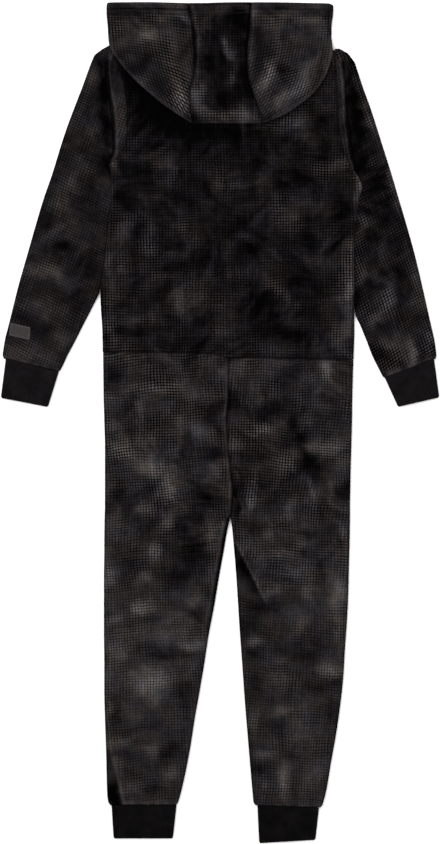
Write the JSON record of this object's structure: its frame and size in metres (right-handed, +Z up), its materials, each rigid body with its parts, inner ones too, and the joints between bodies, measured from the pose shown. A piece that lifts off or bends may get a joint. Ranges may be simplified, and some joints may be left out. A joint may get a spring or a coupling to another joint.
{
  "type": "onesie pajama",
  "caption": "Child's hooded one-piece pajama of waffle fleece with ribbed cuffs and a front zip, laid flat face down with its hood turned over the back.",
  "frame": {"origin": "middle of the bounding box, on the surface that the garment lies on", "axes": "+X to the wearer's right, +Y from the feet to the hood, +Z up from the surface, out of the garment's back"},
  "size_m": [0.6552, 1.2593, 0.0164],
  "materials": {
    "waffle_fleece": "mottled waffle plush",
    "rib_knit": "ribbed knit",
    "zip_tape": "woven tape",
    "zip_metal": "black lacquer",
    "patch_weave": "plain weave"
  },
  "bodies": {
    "garment": {"back_bodice": "waffle_fleece", "front_bodice_left": "waffle_fleece", "front_bodice_right": "waffle_fleece", "back_leg_left": "waffle_fleece", "back_leg_right": "waffle_fleece", "front_leg_left": "waffle_fleece", "front_leg_right": "waffle_fleece", "sleeve_left": "waffle_fleece", "sleeve_right": "waffle_fleece", "hood_left": "waffle_fleece", "hood_centre": "waffle_fleece", "hood_right": "waffle_fleece", "sleeve_cuff_left": "rib_knit", "sleeve_cuff_right": "rib_knit", "leg_cuff_left": "rib_knit", "leg_cuff_right": "rib_knit", "zip_tape_left": "zip_tape", "zip_tape_right": "zip_tape", "zip_slider": "zip_metal", "sleeve_patch": "patch_weave"},
    "pull": {"zip_pull": "zip_metal"}
  },
  "joints": [
    {"name": "pull_hinge", "type": "hinge", "parent": "garment", "child": "pull", "pos_m": [0.00517, 0.5066, 0.00152], "axis": [1, 0, 0], "range_deg": [0, 150]}
  ]
}
